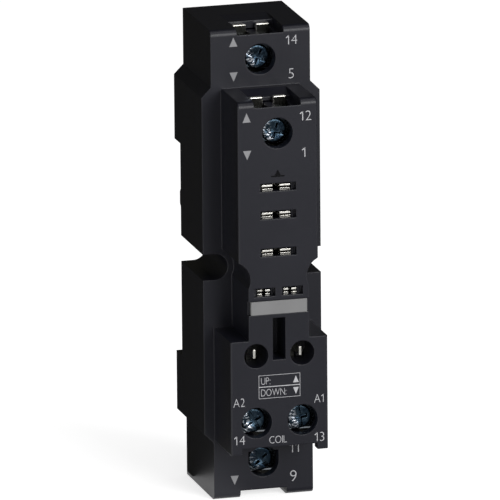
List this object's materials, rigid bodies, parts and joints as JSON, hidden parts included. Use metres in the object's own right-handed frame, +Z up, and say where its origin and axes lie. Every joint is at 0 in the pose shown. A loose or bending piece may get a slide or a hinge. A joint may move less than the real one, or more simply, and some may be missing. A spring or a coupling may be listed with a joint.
{
  "type": "relay socket",
  "caption": "Slim black socket for a plug-in relay, with screw terminals in steps, blade slots, a grey label and a rail latch at the back.",
  "frame": {"origin": "middle of the mounting rail's width and of the socket's width, on the floor of the rail recess", "axes": "+X to the right across the socket seen from its front, +Y back towards the rail, +Z up along the socket"},
  "size_m": [0.0198, 0.0271, 0.0784],
  "materials": {
    "black_plastic": "fine matt moulding texture",
    "latch_plastic": "satin",
    "label_plastic": "matt",
    "zinc_steel": "bright zinc with a blue passivation",
    "spring_steel": "drawn wire",
    "tinned_brass": "tin plated"
  },
  "bodies": {
    "socket": {"housing": "black_plastic", "back_cover": "black_plastic", "latch_spring": "spring_steel", "marking_label": "label_plastic", "contact_strip_14": "tinned_brass", "contact_strip_12": "tinned_brass", "contact_strip_11": "tinned_brass", "contact_strip_a1": "tinned_brass", "contact_strip_a2": "tinned_brass", "blade_clip_14": "tinned_brass", "blade_clip_12": "tinned_brass", "blade_clip_11": "tinned_brass", "blade_clip_a1": "tinned_brass", "blade_clip_a2": "tinned_brass"},
    "rail_latch": {"rail_latch": "latch_plastic"},
    "clamp_14": {"clamp_plate_14": "zinc_steel"},
    "screw_14": {"terminal_screw_14": "zinc_steel"},
    "clamp_12": {"clamp_plate_12": "zinc_steel"},
    "screw_12": {"terminal_screw_12": "zinc_steel"},
    "clamp_11": {"clamp_plate_11": "zinc_steel"},
    "screw_11": {"terminal_screw_11": "zinc_steel"},
    "clamp_a1": {"clamp_plate_a1": "zinc_steel"},
    "screw_a1": {"terminal_screw_a1": "zinc_steel"},
    "clamp_a2": {"clamp_plate_a2": "zinc_steel"},
    "screw_a2": {"terminal_screw_a2": "zinc_steel"}
  },
  "joints": [
    {"name": "latch_slide", "type": "slide", "parent": "socket", "child": "rail_latch", "axis": [0, 0, -1], "range_m": [0, 0.0018], "stiffness_N_per_m": 1500, "springref_m": -0.001, "deforming": ["latch_spring"]},
    {"name": "clamp_slide_14", "type": "slide", "parent": "socket", "child": "clamp_14", "axis": [0, -1, 0], "range_m": [0, 0.0018]},
    {"name": "screw_turn_14", "type": "hinge", "parent": "clamp_14", "child": "screw_14", "pos_m": [0, -0.0134, 0.0343], "axis": [0, -1, 0], "range_deg": [0, 1296]},
    {"name": "clamp_slide_12", "type": "slide", "parent": "socket", "child": "clamp_12", "axis": [0, -1, 0], "range_m": [0, 0.0018]},
    {"name": "screw_turn_12", "type": "hinge", "parent": "clamp_12", "child": "screw_12", "pos_m": [0, -0.0234, 0.0244], "axis": [0, -1, 0], "range_deg": [0, 1296]},
    {"name": "clamp_slide_11", "type": "slide", "parent": "socket", "child": "clamp_11", "axis": [0, -1, 0], "range_m": [0, 0.0018]},
    {"name": "screw_turn_11", "type": "hinge", "parent": "clamp_11", "child": "screw_11", "pos_m": [0, -0.0134, -0.033], "axis": [0, -1, 0], "range_deg": [0, 1296]},
    {"name": "clamp_slide_a1", "type": "slide", "parent": "socket", "child": "clamp_a1", "axis": [0, -1, 0], "range_m": [0, 0.0018]},
    {"name": "screw_turn_a1", "type": "hinge", "parent": "clamp_a1", "child": "screw_a1", "pos_m": [0.00385, -0.0234, -0.02365], "axis": [0, -1, 0], "range_deg": [0, 1296]},
    {"name": "clamp_slide_a2", "type": "slide", "parent": "socket", "child": "clamp_a2", "axis": [0, -1, 0], "range_m": [0, 0.0018]},
    {"name": "screw_turn_a2", "type": "hinge", "parent": "clamp_a2", "child": "screw_a2", "pos_m": [-0.00385, -0.0234, -0.02365], "axis": [0, -1, 0], "range_deg": [0, 1296]}
  ],
  "couplings": [
    {"joint": "screw_turn_14", "follows": "clamp_slide_14", "rad_per_m": 12566},
    {"joint": "screw_turn_12", "follows": "clamp_slide_12", "rad_per_m": 12566},
    {"joint": "screw_turn_11", "follows": "clamp_slide_11", "rad_per_m": 12566},
    {"joint": "screw_turn_a1", "follows": "clamp_slide_a1", "rad_per_m": 12566},
    {"joint": "screw_turn_a2", "follows": "clamp_slide_a2", "rad_per_m": 12566}
  ]
}
